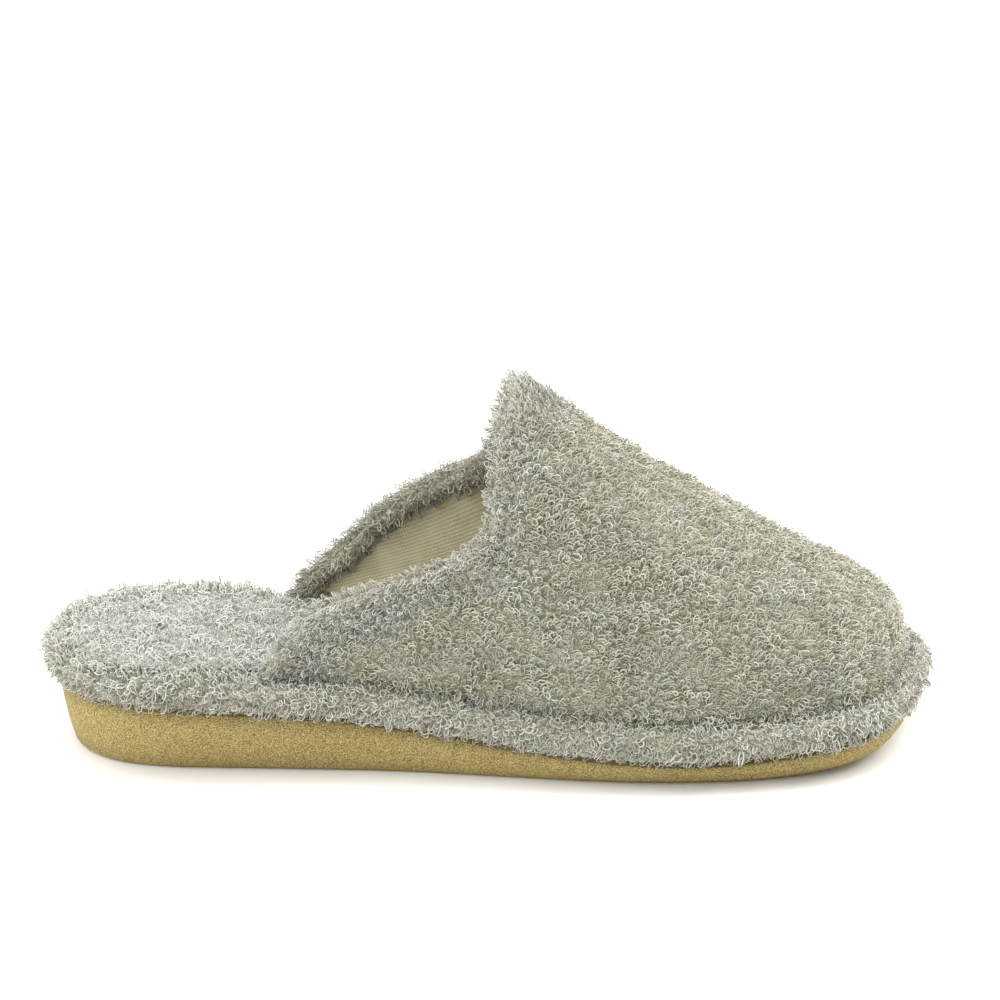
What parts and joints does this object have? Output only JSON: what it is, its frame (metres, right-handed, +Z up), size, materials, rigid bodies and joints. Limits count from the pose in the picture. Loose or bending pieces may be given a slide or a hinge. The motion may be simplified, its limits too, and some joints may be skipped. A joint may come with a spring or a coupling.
{
  "type": "house slipper",
  "caption": "Backless house slipper of looped towelling with a high throat, on a towelling-covered platform and a foam wedge sole.",
  "frame": {"origin": "on the floor, under the middle of the slipper's box", "axes": "+X from heel to toe, +Y to the inner side of the right foot, +Z up"},
  "size_m": [0.2582, 0.0926, 0.1087],
  "materials": {
    "sole_foam": "matt moulded foam",
    "platform_towelling": "looped towelling",
    "insole_towelling": "short looped towelling",
    "upper_towelling": "looped towelling",
    "facing_towelling": "looped towelling"
  },
  "bodies": {
    "root": {"outsole": "sole_foam", "covered_platform": "platform_towelling", "insole": "insole_towelling", "upper": "upper_towelling", "collar_facing": "facing_towelling"}
  },
  "joints": []
}
